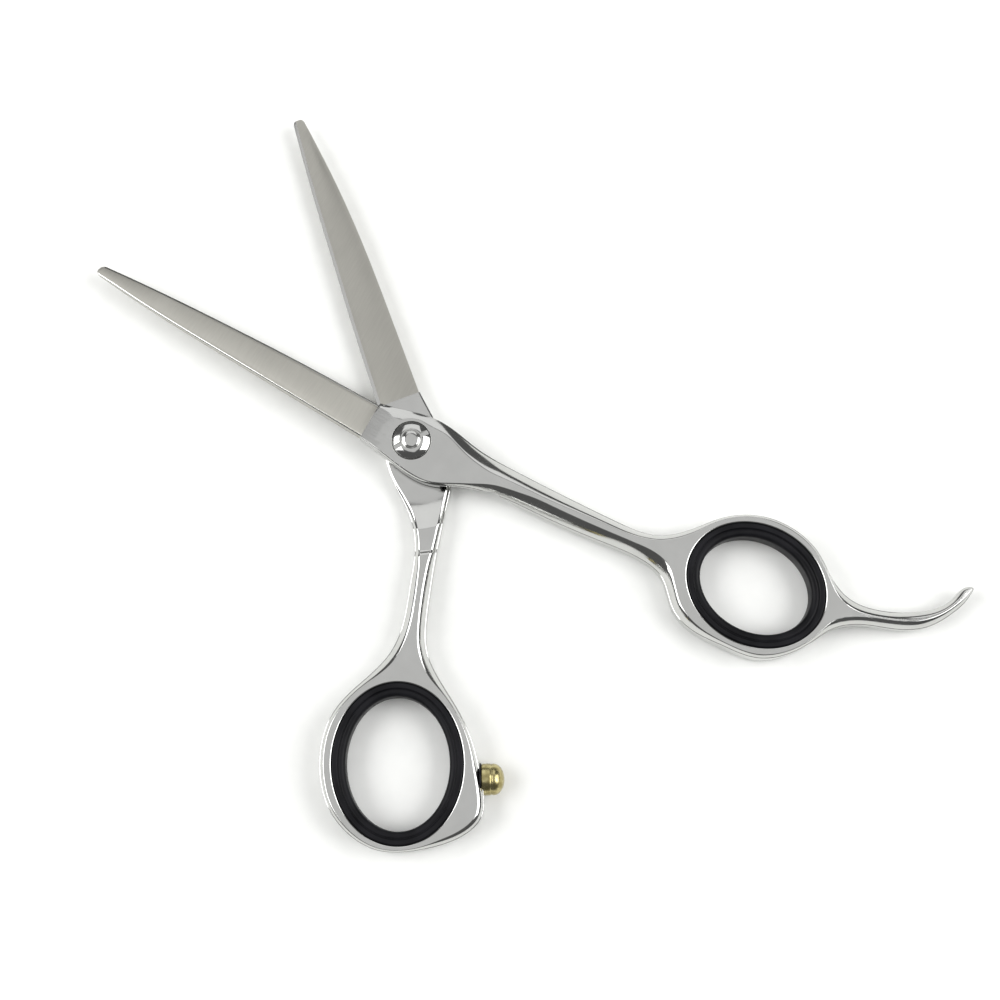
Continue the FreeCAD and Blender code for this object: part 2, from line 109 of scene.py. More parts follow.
def natural_spline(knots, values, at):
    """Cubic spline with free ends through values, one column per number."""
    knots, values = np.asarray(knots, float), np.asarray(values, float)
    steps = np.diff(knots)
    count = len(knots)
    matrix = np.eye(count)
    right = np.zeros((count, values.shape[1]))
    for i in range(1, count - 1):
        matrix[i, i - 1:i + 2] = steps[i - 1], 2 * (steps[i - 1] + steps[i]), steps[i]
        slope_after = (values[i + 1] - values[i]) / steps[i]
        slope_before = (values[i] - values[i - 1]) / steps[i - 1]
        right[i] = 6 * (slope_after - slope_before)
    bends = np.linalg.solve(matrix, right)
    cell = np.clip(np.searchsorted(knots, at, side="right") - 1, 0, count - 2)
    h = steps[cell][:, None]
    a = (knots[cell + 1] - at)[:, None] / h
    b = 1 - a
    curve = a * values[cell] + b * values[cell + 1]
    return curve + ((a ** 3 - a) * bends[cell] + (b ** 3 - b) * bends[cell + 1]) * h * h / 6


def smoothstep(t):
    """An ease from 0 to 1."""
    t = np.clip(t, 0, 1)
    return t * t * (3 - 2 * t)


def eased(knots, values, at):
    """Values that ease from each knot to the next, with no overshoot."""
    cell = np.clip(np.searchsorted(knots, at, side="right") - 1, 0, len(knots) - 2)
    share = smoothstep((at - knots[cell]) / (knots[cell + 1] - knots[cell]))
    return values[cell] * (1 - share) + values[cell + 1] * share


def stations(outline, spacing=0.4, turn=math.radians(5)):
    """Points along an outline, closer where it bends, with inward normals, slope widths and falls."""
    rows = np.array(outline, float)
    knots = np.concatenate([[0], np.cumsum(np.hypot(*np.diff(rows[:, :2], axis=0).T))])
    fine = np.linspace(0, knots[-1], 12000)
    path = natural_spline(knots, rows[:, :2], fine)
    tangent = np.gradient(path, fine, axis=0)
    tangent /= np.linalg.norm(tangent, axis=1)[:, None]
    heading = np.unwrap(np.arctan2(tangent[:, 1], tangent[:, 0]))
    effort = np.abs(np.diff(fine)) / spacing + np.abs(np.diff(heading)) / turn
    effort = np.concatenate([[0], np.cumsum(effort)])
    at = np.interp(np.linspace(0, effort[-1], int(effort[-1]) + 1), effort, fine)
    points = natural_spline(knots, rows[:, :2], at)
    side = np.column_stack([np.interp(at, fine, tangent[:, 1]), -np.interp(at, fine, tangent[:, 0])])
    side /= np.linalg.norm(side, axis=1)[:, None]
    return points, side, eased(knots, rows[:, 2], at), eased(knots, rows[:, 3], at)


def oval(ring, half_axes, count=220):
    """Points round a ring's ellipse and their outward normals."""
    angle = np.linspace(0, 2 * math.pi, count, endpoint=False)
    a, b = half_axes
    points = np.column_stack([a * np.cos(angle), b * np.sin(angle)])
    normal = np.column_stack([b * np.cos(angle), a * np.sin(angle)])
    normal /= np.linalg.norm(normal, axis=1)[:, None]
    turn = math.radians(ring["turn"])
    spin = np.array([[math.cos(turn), math.sin(turn)], [-math.sin(turn), math.cos(turn)]])
    return points @ spin + np.array(ring["centre"]), normal @ spin


def circle(radius, count=96):
    """Points round the pivot and their outward normals."""
    angle = np.linspace(0, 2 * math.pi, count, endpoint=False)
    normal = np.column_stack([np.cos(angle), np.sin(angle)])
    return normal * radius, normal


# Heights of the levers' faces, from x and y

# Where the finger lever's table starts to sink towards the heel, over what run and by how much.
SINK_START, SINK_RUN, SINK_DEPTH = -4.5, 4.1, 0.38
# The same for the thinning of the finger rest.
REST_START, REST_RUN, REST_THINNING = 84, 20.5, 1.7
# The half-lap under the finger lever: radius of its end, and run of the ramp there.
LAP_END, LAP_RUN = 22.5, 2.0
# The thumb lever's top, by radius from the pivot: start and run of the cove, end of the pad with the
# step after it, and the ramp up the shank.
COVE_START, COVE_RUN = 10.2, 6.2
PAD_END, STEP_RUN, STEP_HEIGHT = 20.4, 0.9, 0.5
RAMP_START, RAMP_RUN, RAMP_HEIGHT = 21.3, 9.3, 0.9
# Where the blades end inside the hub.
BLADE_ROOT = -6.0


def rest_thinning(p):
    """How much the finger rest has lost at each face."""
    return REST_THINNING * np.clip((p[:, 0] - REST_START) / REST_RUN, 0, 1)


def finger_top(p):
    """Flat table, sinking gently to the heel, and thinning along the finger rest."""
    sink = SINK_DEPTH * np.clip((SINK_START - p[:, 0]) / SINK_RUN, 0, 1)
    return TOP - sink - rest_thinning(p)


def finger_foot(p):
    """The half-lap over the thumb lever, then the underside."""
    radius = np.hypot(p[:, 0], p[:, 1])
    lap = RIDE * np.clip((LAP_END - radius) / LAP_RUN, 0, 1)
    return np.maximum(lap, rest_thinning(p))


# Radii of the rings of points that carry the neck's rise: cove and pad, then the step, then the ramp.
NECK_RINGS = tuple(np.concatenate([
    np.arange(COVE_START, 20.1, 0.4), np.arange(20.2, 21.6, 0.2), np.arange(22.0, 31.2, 0.6),
]))


def thumb_top(p):
    """Ride face, cove that steepens from a crease, flat pad, a short step, then the shank."""
    radius = np.hypot(p[:, 0], p[:, 1])
    run = np.clip(radius - COVE_START, 0, COVE_RUN)
    step = STEP_HEIGHT * smoothstep((radius - PAD_END) / STEP_RUN)
    rise = RAMP_HEIGHT * np.clip((radius - RAMP_START) / RAMP_RUN, 0, 1)
    return THUMB_FACE + 0.08 * run + 0.025 * run ** 2 + step + rise


def thumb_foot(p):
    """The flat underside."""
    return np.zeros(len(p))


# Mesh building

# A distance that stands for no limit.
NO_LIMIT = 50.0


def new_object(name, mesh_maker, materials, body, replaces=(), turned=False):
    """One piece from a bmesh in millimetres, placed, shaded smooth, and riding on a body."""
    bm = bmesh.new()
    mesh_maker(bm)
    bmesh.ops.remove_doubles(bm, verts=bm.verts, dist=2e-4)
    bmesh.ops.holes_fill(bm, edges=[edge for edge in bm.edges if edge.is_boundary], sides=6)
    bmesh.ops.recalc_face_normals(bm, faces=bm.faces)
    scale = Matrix.Scale(MM, 4)
    turn = Matrix.Rotation(OPEN_ANGLE, 4, "Z") if turned else Matrix.Identity(4)
    bmesh.ops.transform(bm, matrix=turn @ scale, verts=bm.verts)
    mesh = bpy.data.meshes.new(name)
    bm.to_mesh(mesh)
    bm.free()
    obj = bpy.data.objects.new(name, mesh)
    bpy.context.scene.collection.objects.link(obj)
    for paint in materials:
        mesh.materials.append(paint)
    smooth(mesh)
    if body:
        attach(obj, body)
        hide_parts(*replaces)
    return obj


def smooth(mesh, angle=24):
    """Smooth shading, broken where faces meet at more than the angle."""
    mesh.shade_smooth()
    mesh.set_sharp_from_angle(angle=math.radians(angle))


def grid(bm, rows, closed_rows=False, closed_columns=False, paint=None):
    """Quads between rows of points. paint gives each column's material number, where it isn't 0."""
    verts = [[bm.verts.new(tuple(p)) for p in row] for row in rows]
    count, width = len(verts), len(verts[0])
    for i in range(count if closed_rows else count - 1):
        after = verts[(i + 1) % count]
        for k in range(width if closed_columns else width - 1):
            j = (k + 1) % width
            face = bm.faces.new((verts[i][k], verts[i][j], after[j], after[k]))
            if paint is not None:
                face.material_index = paint[k]
    return verts


def medial_limit(points, inward, others):
    """Radius of the widest circle inside the metal that touches the outline at each point."""
    rivals = np.vstack([points] + others)
    limit = np.full(len(points), NO_LIMIT)
    for i, (point, normal) in enumerate(zip(points, inward)):
        gap = rivals - point
        along = gap @ normal
        far = (gap ** 2).sum(1)
        usable = (along > 1e-3) & (far > 0.09)
        if usable.any():
            limit[i] = (far[usable] / (2 * along[usable])).min()
    return limit


def bore_limit(points, inward, radius):
    """How far each point can go inward before it meets a circle round the pivot."""
    along = -(points * inward).sum(1)
    miss = np.abs(points[:, 0] * inward[:, 1] - points[:, 1] * inward[:, 0])
    meets = (miss < radius) & (along > 0)
    reach = np.full(len(points), NO_LIMIT)
    reach[meets] = along[meets] - np.sqrt(radius ** 2 - miss[meets] ** 2)
    return reach


def blurred(values, reach=5):
    """A moving average that keeps its ends."""
    padded = np.concatenate([np.full(reach, values[0]), values, np.full(reach, values[-1])])
    return np.convolve(padded, np.ones(2 * reach + 1) / (2 * reach + 1), "valid")


# Rows of points down a slope, and radius of the lip between slope and wall.
SLOPE_ROWS = 12
LIP = 0.32


def wall_columns(points, inward, width, fall, top, foot, foot_share=0.55):
    """Columns of points down a lever's edge: table edge, slope, rounded lip, wall, and the same below."""
    shares = np.linspace(0, 1, SLOPE_ROWS)
    columns = []

    def ring(inset, height_of, drop):
        place = points + inward * np.asarray(inset).reshape(-1, 1)
        return np.column_stack([place, height_of(place) + drop])

    lip = np.minimum(LIP, 0.45 * width)
    outer = np.minimum(lip * 0.5, 0.2)
    for share in (1.08, 1.03):
        columns.append(ring(width * share, top, 0))
    for share in shares:
        inset = outer + (width - outer) * (1 - share)
        columns.append(ring(inset, top, -fall * share ** 1.6))
    for step in (0.35, 0.7, 1.0):
        turn = step * math.pi / 2
        columns.append(ring(outer * (1 - math.sin(turn)), top, -fall - lip * (1 - math.cos(turn))))
    low_width, low_fall = width * foot_share, np.minimum(fall * foot_share, 0.9)
    thick = top(points) - foot(points) - fall - lip
    low_fall = np.clip(np.minimum(low_fall, thick - 0.25), 0.02, None)
    low_lip = np.clip(np.minimum(lip, thick - low_fall - 0.1), 0.02, None)
    low_outer = np.minimum(low_lip * 0.5, 0.2)
    for step in (1.0, 0.7, 0.35):
        turn = step * math.pi / 2
        climb = low_fall + low_lip * (1 - math.cos(turn))
        columns.append(ring(low_outer * (1 - math.sin(turn)), foot, climb))
    for share in shares[::-2]:
        inset = low_outer + (low_width - low_outer) * (1 - share)
        columns.append(ring(inset, foot, low_fall * share ** 1.6))
    columns.append(ring(low_width * 1.08, foot, 0))
    return np.stack(columns, axis=1)


def hole_columns(points, outward, top, foot, chamfer):
    """Columns of points down the wall of a hole, with a small rounded chamfer at each end."""
    columns = []
    for sign, height_of in ((-1, top), (1, foot)):
        rounding = [(1.25, 0.0), (1.0, 0.0), (0.62, 0.13), (0.3, 0.42), (0.1, 0.75), (0.0, 1.1)]
        rows = []
        for inset, drop in rounding:
            place = points + outward * inset * chamfer
            rows.append(np.column_stack([place, height_of(place) + sign * drop * chamfer]))
        columns += rows if sign < 0 else rows[::-1]
    return np.stack(columns, axis=1)


def inside(polygon, p):
    """Which points lie inside a polygon."""
    x, y = p[:, 0][:, None], p[:, 1][:, None]
    ax, ay = polygon[:, 0], polygon[:, 1]
    bx, by = np.roll(ax, -1), np.roll(ay, -1)
    crosses = (ay > y) != (by > y)
    with np.errstate(divide="ignore", invalid="ignore"):
        at = (bx - ax) * (y - ay) / (by - ay) + ax
    return (crosses & (x < at)).sum(1) % 2 == 1


def table_face(bm, loops, height_of, rings=(), lines=(), pitch=1.6):
    """A face inside the first loop, without the others, with vertices on rings, lines and a wide grid."""
    points, edges = [], []
    for loop in loops:
        start = len(points)
        points += [tuple(p) for p in loop]
        edges += [(start + i, start + (i + 1) % len(loop)) for i in range(len(loop))]
    hull = np.array(loops[0])
    low, high = hull.min(0), hull.max(0)
    first = low + pitch / 2
    gx, gy = np.meshgrid(np.arange(first[0], high[0], pitch), np.arange(first[1], high[1], pitch))
    filler = np.column_stack([gx.ravel(), gy.ravel()])
    if len(rings):
        away = np.hypot(filler[:, 0], filler[:, 1])
        filler = filler[(away < min(rings) - 0.5) | (away > max(rings) + 0.5)]
    angle = np.linspace(0, 2 * math.pi, 320, endpoint=False)
    for radius in rings:
        filler = np.vstack([filler, radius * np.column_stack([np.cos(angle), np.sin(angle)])])
    for x in lines:
        y = np.arange(low[1], high[1], 0.25)
        filler = np.vstack([filler, np.column_stack([np.full(len(y), x), y])])
    keep = inside(hull, filler)
    for loop in loops[1:]:
        keep &= ~inside(np.array(loop), filler)
    border = np.array(points)
    filler = filler[keep]
    clear = [np.hypot(*(border - q).T).min() > 0.12 for q in filler]
    points += [tuple(q) for q in filler[np.array(clear, bool)]] if len(filler) else []
    placed, _, faces, _, _, _ = delaunay_2d_cdt([Vector(p) for p in points], edges, [], 0, 1e-6)
    flat = np.array([tuple(p) for p in placed])
    centres = np.array([flat[list(f)].mean(0) for f in faces])
    wanted = inside(hull, centres)
    for loop in loops[1:]:
        wanted &= ~inside(np.array(loop), centres)
    heights = height_of(flat)
    verts = [bm.verts.new((x, y, z)) for (x, y), z in zip(flat, heights)]
    for face, want in zip(faces, wanted):
        if want:
            bm.faces.new([verts[i] for i in face])
    for vert in verts:
        if not vert.link_faces:
            bm.verts.remove(vert)


def handle(outline, ring, bore, top, foot, heel_reach, top_rings=(), foot_rings=(), lines=()):
    """A maker for a lever's hub, shank and ring, as one closed skin with an open bore at the pivot."""
    points, inward, width, fall = stations(outline)
    run = np.concatenate([[0], np.cumsum(np.hypot(*np.diff(points, axis=0).T))])
    for from_end, down in ((run, -1.0), (run[-1] - run, 1.0)):
        share = (1 - smoothstep(from_end / heel_reach))[:, None]
        inward = inward * (1 - share) + np.array([0, down]) * share
    inward /= np.linalg.norm(inward, axis=1)[:, None]
    hole, hole_out = oval(ring, ring["hole"])
    pivot, pivot_out = circle(bore)
    limit = medial_limit(points, inward, [hole + hole_out * 0.3])
    clear = bore_limit(points, inward, bore + 0.3) / 1.1
    width = blurred(np.minimum(np.minimum(width, clear), 0.9 * limit))
    width = np.minimum(np.minimum(width, clear), 0.92 * limit)
    fall = blurred(np.minimum(fall, 1.25 * width + 0.05))
    sides = wall_columns(points, inward, width, fall, top, foot)

    def make(bm):
        grid(bm, sides)
        ring_wall = hole_columns(hole, hole_out, top, foot, 0.28)
        bore_wall = hole_columns(pivot, pivot_out, top, foot, 0.08)
        grid(bm, ring_wall, closed_rows=True)
        grid(bm, bore_wall, closed_rows=True)
        for column, height_of, rings in ((0, top, top_rings), (-1, foot, foot_rings)):
            loops = [sides[:, column, :2], ring_wall[:, column, :2], bore_wall[:, column, :2]]
            table_face(bm, loops, height_of, rings, lines)
        heel = list(sides[0]) + list(sides[-1][::-1])
        bm.faces.new([bm.verts.new(tuple(p)) for p in heel])

    return make


# Depth of a blade above its fine bevel, length of the rounded nose, and the columns of a blade's section
# that make the polished line on its spine.
EDGE_DEPTH = 0.22
NOSE = 0.95
SPINE_LINE = (13, 14, 15)


def blade(sections, ride, outward, root):
    """A maker for a blade: hollow ride face, rounded spine, swelling outer face and a fine edge bevel."""
    table = np.array(sections, float)
    tip = table[0, 0]
    along = np.concatenate([tip + NOSE * (1 - np.cos(np.linspace(0, math.pi / 2, 14))),
                            np.arange(tip + NOSE + 0.5, root, 0.6), [root]])
    edge, spine, depth = natural_spline(table[:, 0], table[:, 1:], along).T
    taper = np.sqrt(np.clip(1 - ((tip + NOSE - along).clip(0) / NOSE) ** 2, 0.0, 1))
    depth = np.minimum(depth, EDGE_DEPTH + 0.33 * abs(edge - spine)) * (0.7 + 0.3 * taper)
    middle = (edge + spine) / 2
    edge = middle + (edge - middle) * (0.4 + 0.6 * taper)
    spine = middle + (spine - middle) * (0.4 + 0.6 * taper)
    sections_out = []
    for x, e, s, d in zip(along, edge, spine, depth):
        span = abs(e - s)
        round_off = min(0.45, 0.16 * span)
        hollow = 0.15 * min(1, max(0, (x - tip - 2) / 8))
        land = min(0.62, 0.25 * span)
        bevel = min(0.28, 0.12 * span)
        profile = [(0.0, 0.02), (land, 0.0)]
        for share in np.linspace(0.12, 0.88, 7):
            swale = hollow * math.sin(math.pi * share)
            profile.append((land + (span - land - 0.4 * land) * share, swale))
        profile += [(span - 0.4 * land, 0.0), (span, 0.0)]
        for turn in np.linspace(0.0, math.pi / 2, 7):
            profile.append((span - round_off * (1 - math.cos(turn)), d - round_off * (1 - math.sin(turn))))
        reach = span - round_off - bevel
        for share in np.linspace(0.08, 1.0, 11):
            profile.append((bevel + reach * (1 - share), EDGE_DEPTH + (d - EDGE_DEPTH) * (1 - share ** 1.25)))
        line = 1 if e > s else -1
        sections_out.append([(x, e - line * across, ride + outward * up) for across, up in profile])
    # The fine bevel at the edge and a line on the rounding of the spine are polished: the rest is satin.
    paint = [1] * len(profile)
    for column in (0, *SPINE_LINE, len(profile) - 1):
        paint[column] = 0

    def make(bm):
        verts = grid(bm, sections_out, closed_columns=True, paint=paint)
        bm.faces.new(verts[0][::-1])
        bm.faces.new(verts[-1])
        bmesh.ops.triangulate(bm, faces=[f for f in bm.faces if len(f.verts) > 4])

    return make


def combined(base, tool, operation, angle=24):
    """One closed skin from two closed pieces: joined as one, or with the second cut out of the first."""
    modifier = base.modifiers.new("combine", "BOOLEAN")
    modifier.operation = operation
    modifier.solver = "EXACT"
    modifier.object = tool
    bpy.context.view_layer.update()
    mesh = bpy.data.meshes.new_from_object(base.evaluated_get(bpy.context.evaluated_depsgraph_get()))
    base.modifiers.clear()
    base.data = mesh
    bpy.data.objects.remove(tool)
    smooth(mesh, angle)
    return base


def prism(outline, low, high):
    """A maker for a straight block over an outline."""

    def make(bm):
        rows = [[(x, y, low), (x, y, high)] for x, y in outline]
        verts = grid(bm, rows, closed_rows=True)
        bm.faces.new([pair[0] for pair in verts])
        bm.faces.new([pair[1] for pair in verts][::-1])

    return make


def lathe(profile, count=96, axis="Z"):
    """A maker for a turned piece from (radius, height) points."""

    def make(bm):
        rows = []
        for angle in np.linspace(0, 2 * math.pi, count, endpoint=False):
            c, s = math.cos(angle), math.sin(angle)
            if axis == "Z":
                rows.append([(r * c, r * s, h) for r, h in profile])
            else:
                rows.append([(h, r * c, r * s) for r, h in profile])
        closed = profile[0][0] > 0 or profile[-1][0] > 0
        grid(bm, rows, closed_rows=True, closed_columns=closed)
        bmesh.ops.remove_doubles(bm, verts=bm.verts, dist=1e-4)

    return make


def arc(centre, radius, start, end, count=6):
    """Points of an arc in a lathe profile, angles in degrees from the outward direction."""
    turns = np.radians(np.linspace(start, end, count))
    return [(centre[0] + radius * math.cos(t), centre[1] + radius * math.sin(t)) for t in turns]


# Materials

def material(name):
    """An empty node material and its nodes, links and shader."""
    mat = bpy.data.materials.new(name)
    mat.use_nodes = True
    return mat, mat.node_tree.nodes, mat.node_tree.links, mat.node_tree.nodes["Principled BSDF"]


def object_coordinates(nodes, links, stretch):
    """Coordinates fixed to the piece, stretched along its axes."""
    place = nodes.new("ShaderNodeTexCoord")
    mapping = nodes.new("ShaderNodeMapping")
    mapping.inputs["Scale"].default_value = stretch
    links.new(place.outputs["Object"], mapping.inputs["Vector"])
    return mapping.outputs["Vector"]


def noise(nodes, links, vector, scale, detail=3.0):
    """A noise texture's value."""
    node = nodes.new("ShaderNodeTexNoise")
    node.inputs["Scale"].default_value = scale
    node.inputs["Detail"].default_value = detail
    links.new(vector, node.inputs["Vector"])
    return node.outputs["Fac"]


def spread(nodes, links, value, low, high, start=0.35, stop=0.65):
    """The value taken from one range to another."""
    node = nodes.new("ShaderNodeMapRange")
    node.inputs["From Min"].default_value = start
    node.inputs["From Max"].default_value = stop
    node.inputs["To Min"].default_value = low
    node.inputs["To Max"].default_value = high
    links.new(value, node.inputs["Value"])
    return node.outputs["Result"]


def tint(nodes, links, value, first, second, start=0.35, stop=0.65):
    """A colour between two, following a value."""
    node = nodes.new("ShaderNodeValToRGB")
    node.color_ramp.elements[0].position = start
    node.color_ramp.elements[1].position = stop
    node.color_ramp.elements[0].color = (*first, 1)
    node.color_ramp.elements[1].color = (*second, 1)
    links.new(value, node.inputs["Fac"])
    return node.outputs["Color"]


def bump(nodes, links, shader, height, strength, distance):
    """Fine relief on the shader."""
    node = nodes.new("ShaderNodeBump")
    node.inputs["Strength"].default_value = strength
    node.inputs["Distance"].default_value = distance
    links.new(height, node.inputs["Height"])
    links.new(node.outputs["Normal"], shader.inputs["Normal"])


def polished_steel():
    """Buffed stainless steel: nearly a mirror, with faint buffing haze, wipe marks and fine scratches."""
    mat, nodes, links, shader = material("polished_steel")
    shader.inputs["Metallic"].default_value = 1.0
    haze = noise(nodes, links, object_coordinates(nodes, links, (1, 1, 1)), 260, 4)
    buff = noise(nodes, links, object_coordinates(nodes, links, (160, 2600, 900)), 1.0, 4)
    colour = tint(nodes, links, haze, (0.565, 0.567, 0.553), (0.592, 0.594, 0.580))
    links.new(colour, shader.inputs["Base Color"])
    both = nodes.new("ShaderNodeMath")
    both.operation = "MULTIPLY"
    links.new(haze, both.inputs[0])
    links.new(buff, both.inputs[1])
    links.new(spread(nodes, links, both.outputs[0], 0.09, 0.15, 0.15, 0.4), shader.inputs["Roughness"])
    bump(nodes, links, shader, buff, 0.05, 0.00002)
    return mat


def lengthwise(nodes, links):
    """Direction from the pivot outwards: along a blade, and across its grinding marks."""
    flat = nodes.new("ShaderNodeVectorMath")
    flat.operation = "MULTIPLY"
    flat.inputs[1].default_value = (1, 1, 0)
    turned_out = nodes.new("ShaderNodeVectorTransform")
    turned_out.vector_type = "VECTOR"
    turned_out.convert_from = "OBJECT"
    turned_out.convert_to = "WORLD"
    links.new(object_coordinates(nodes, links, (1, 1, 1)), flat.inputs[0])
    links.new(flat.outputs["Vector"], turned_out.inputs["Vector"])
    return turned_out.outputs["Vector"]


def satin_steel():
    """Ground blade steel: fine marks across the blade in a soft grey."""
    mat, nodes, links, shader = material("satin_steel")
    shader.inputs["Metallic"].default_value = 1.0
    grain = noise(nodes, links, object_coordinates(nodes, links, (5200, 260, 260)), 1.0, 5)
    cloud = noise(nodes, links, object_coordinates(nodes, links, (1, 1, 1)), 120, 3)
    colour = tint(nodes, links, grain, (0.49, 0.48, 0.44), (0.53, 0.52, 0.475), 0.3, 0.7)
    links.new(colour, shader.inputs["Base Color"])
    links.new(spread(nodes, links, cloud, 0.34, 0.42), shader.inputs["Roughness"])
    links.new(lengthwise(nodes, links), shader.inputs["Tangent"])
    shader.inputs["Anisotropic"].default_value = 0.8
    bump(nodes, links, shader, grain, 0.08, 0.00003)
    return mat


def black_rubber():
    """Moulded rubber with a soft sheen and a very fine tooth."""
    mat, nodes, links, shader = material("black_rubber")
    coordinates = object_coordinates(nodes, links, (1, 1, 1))
    tooth = noise(nodes, links, coordinates, 2600, 3)
    smear = noise(nodes, links, coordinates, 210, 3)
    colour = tint(nodes, links, smear, (0.003, 0.003, 0.004), (0.008, 0.008, 0.010))
    links.new(colour, shader.inputs["Base Color"])
    links.new(spread(nodes, links, smear, 0.38, 0.50), shader.inputs["Roughness"])
    shader.inputs["Specular IOR Level"].default_value = 0.15
    bump(nodes, links, shader, tooth, 0.18, 0.00002)
    return mat


def aged_brass():
    """Turned brass with a slightly tarnished, greenish gold colour."""
    mat, nodes, links, shader = material("aged_brass")
    shader.inputs["Metallic"].default_value = 1.0
    blotch = noise(nodes, links, object_coordinates(nodes, links, (1, 1, 1)), 900, 5)
    turning = noise(nodes, links, object_coordinates(nodes, links, (2200, 300, 300)), 1.0, 3)
    colour = tint(nodes, links, blotch, (0.30, 0.25, 0.105), (0.56, 0.50, 0.26))
    links.new(colour, shader.inputs["Base Color"])
    links.new(spread(nodes, links, blotch, 0.34, 0.22), shader.inputs["Roughness"])
    bump(nodes, links, shader, turning, 0.12, 0.00003)
    return mat


def nylon():
    """Natural nylon washers and bush."""
    mat, nodes, links, shader = material("natural_nylon")
    cloud = noise(nodes, links, object_coordinates(nodes, links, (1, 1, 1)), 900, 4)
    links.new(tint(nodes, links, cloud, (0.70, 0.68, 0.60), (0.80, 0.78, 0.72)), shader.inputs["Base Color"])
    links.new(spread(nodes, links, cloud, 0.40, 0.58), shader.inputs["Roughness"])
    bump(nodes, links, shader, cloud, 0.1, 0.00002)
    return mat


def spring_steel():
    """Rolled spring steel."""
    mat, nodes, links, shader = material("rolled_spring_steel")
    shader.inputs["Metallic"].default_value = 1.0
    grain = noise(nodes, links, object_coordinates(nodes, links, (4000, 300, 300)), 1.0, 4)
    links.new(tint(nodes, links, grain, (0.42, 0.42, 0.42), (0.54, 0.54, 0.53)), shader.inputs["Base Color"])
    links.new(spread(nodes, links, grain, 0.22, 0.36), shader.inputs["Roughness"])
    bump(nodes, links, shader, grain, 0.15, 0.00002)
    return mat


# Pieces

def build_levers(polished, satin):
    """Each lever is one skin: its handle joined to its blade."""
    finger = new_object(
        "finger_lever_skin",
        handle(FINGER_OUTLINE, FINGER_RING, FINGER_BORE, finger_top, finger_foot, 5.0,
               foot_rings=(LAP_END - LAP_RUN, LAP_END), lines=(SINK_START,)),
        [polished, satin], "finger_half", ["finger_lever"],
    )
    finger_blade = new_object(
        "finger_blade_tool", blade(FINGER_BLADE, RIDE + 0.01, 1, BLADE_ROOT), [polished, satin], None,
    )
    combined(finger, finger_blade, "UNION")
    relief = new_object("relief_tool", prism(NECK_RELIEF, 2.0, RELIEF_TOP), [polished], None)
    combined(finger, relief, "DIFFERENCE")
    thumb = new_object(
        "thumb_lever_skin",
        handle(THUMB_OUTLINE, THUMB_RING, THUMB_BORE, thumb_top, thumb_foot, 1.0, top_rings=NECK_RINGS),
        [polished, satin], "thumb_half", ["thumb_lever"], turned=True,
    )
    thumb_blade = new_object(
        "thumb_blade_tool", blade(THUMB_BLADE, THUMB_RIDE, -1, BLADE_ROOT), [polished, satin], None,
        turned=True,
    )
    combined(thumb, thumb_blade, "UNION")


def build_insert(name, ring, body, node, rubber, turned):
    """Stepped rubber liner: rounded flanges, a fine step and a rounded inner wall."""
    width = ring["hole"][0] - ring["opening"][0]
    profile = [(0.04, 3.0), (0.04, 5.55), (0.10, 5.78), (0.26, 5.88), (0.60, 5.9), (0.92, 5.86), (1.08, 5.74),
               (1.13, 5.60), (1.16, 5.52), (1.24, 5.50), (1.36, 5.56), (1.6, 5.60)]
    for turn in np.linspace(0.25, 1.0, 7) * math.pi / 2:
        profile.append((width - 0.8 + 0.8 * math.sin(turn), 4.7 + 0.88 * math.cos(turn)))
    profile.append((width, 3.0))
    loop = profile + [(inset, 6.0 - height) for inset, height in profile[-2:0:-1]]
    outer, _ = oval(ring, ring["hole"], 200)
    inner, _ = oval(ring, ring["opening"], 200)

    def make(bm):
        rows = []
        for wall, core in zip(outer, inner):
            reach = (core - wall) / width
            rows.append([(*(wall + reach * inset), height) for inset, height in loop])
        grid(bm, rows, closed_rows=True, closed_columns=True)

    new_object(name, make, [rubber], body, [node], turned)


def build_screw(polished):
    """Domed screw head with a raised button and a key slot that the button breaks."""
    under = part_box("pivot_screw")[1].z / MM - 1.45
    profile = [(0.0, 1.3), (1.4, 1.3), (1.5, 1.4), (1.5, under), (3.35, under), (3.45, under + 0.1)]
    profile += [(3.45, under + 0.38), (3.42, under + 0.46), (3.33, under + 0.53)]
    for share in np.linspace(0.12, 1.0, 12):
        radius = 3.33 - share * 1.55
        profile.append((radius, under + 0.53 + 0.62 * (1 - (1 - share) ** 1.9)))
    profile += [(1.72, under + 1.10), (1.66, under + 1.06), (1.60, under + 1.08), (1.56, under + 1.18)]
    profile += [(1.50, under + 1.28), (1.38, under + 1.35), (1.1, under + 1.40), (0.6, under + 1.44)]
    profile += [(0.0, under + 1.45)]
    screw = new_object("pivot_screw_skin", lathe(profile, 128), [polished], "tension_screw",
                       ["pivot_screw"])
    turn = math.radians(54.0)
    for sign in (1, -1):
        cutter = new_object("slot_tool", slot_block(sign, turn, under), [polished], None)
        combined(screw, cutter, "DIFFERENCE", 28)


def slot_block(sign, turn, under):
    """A maker for the block that cuts one half of the key slot."""
    centre, length, width = 2.85, 1.9, 0.9

    def make(bm):
        bmesh.ops.create_cube(bm, size=1.0)
        for vert in bm.verts:
            x = sign * (centre + vert.co.x * length)
            y = vert.co.y * width
            z = under + 0.45 + 0.5 + vert.co.z
            c, s = math.cos(turn), math.sin(turn)
            vert.co = (x * c - y * s, x * s + y * c, z)

    return make


def build_nut(polished):
    """Sleeve nut: chamfered flange, barrel and bore."""
    profile = [(0.0, 0.0), (3.75, 0.0), (3.92, 0.05), (4.0, 0.18), (4.0, 0.82), (3.97, 0.85), (2.4, 0.85)]
    profile += [(2.4, 5.05), (2.35, 5.1), (1.62, 5.1), (1.55, 5.03), (1.55, 1.0), (0.0, 1.0)]
    new_object("pivot_nut_skin", lathe(profile, 96), [polished], "thumb_half", ["pivot_nut"])


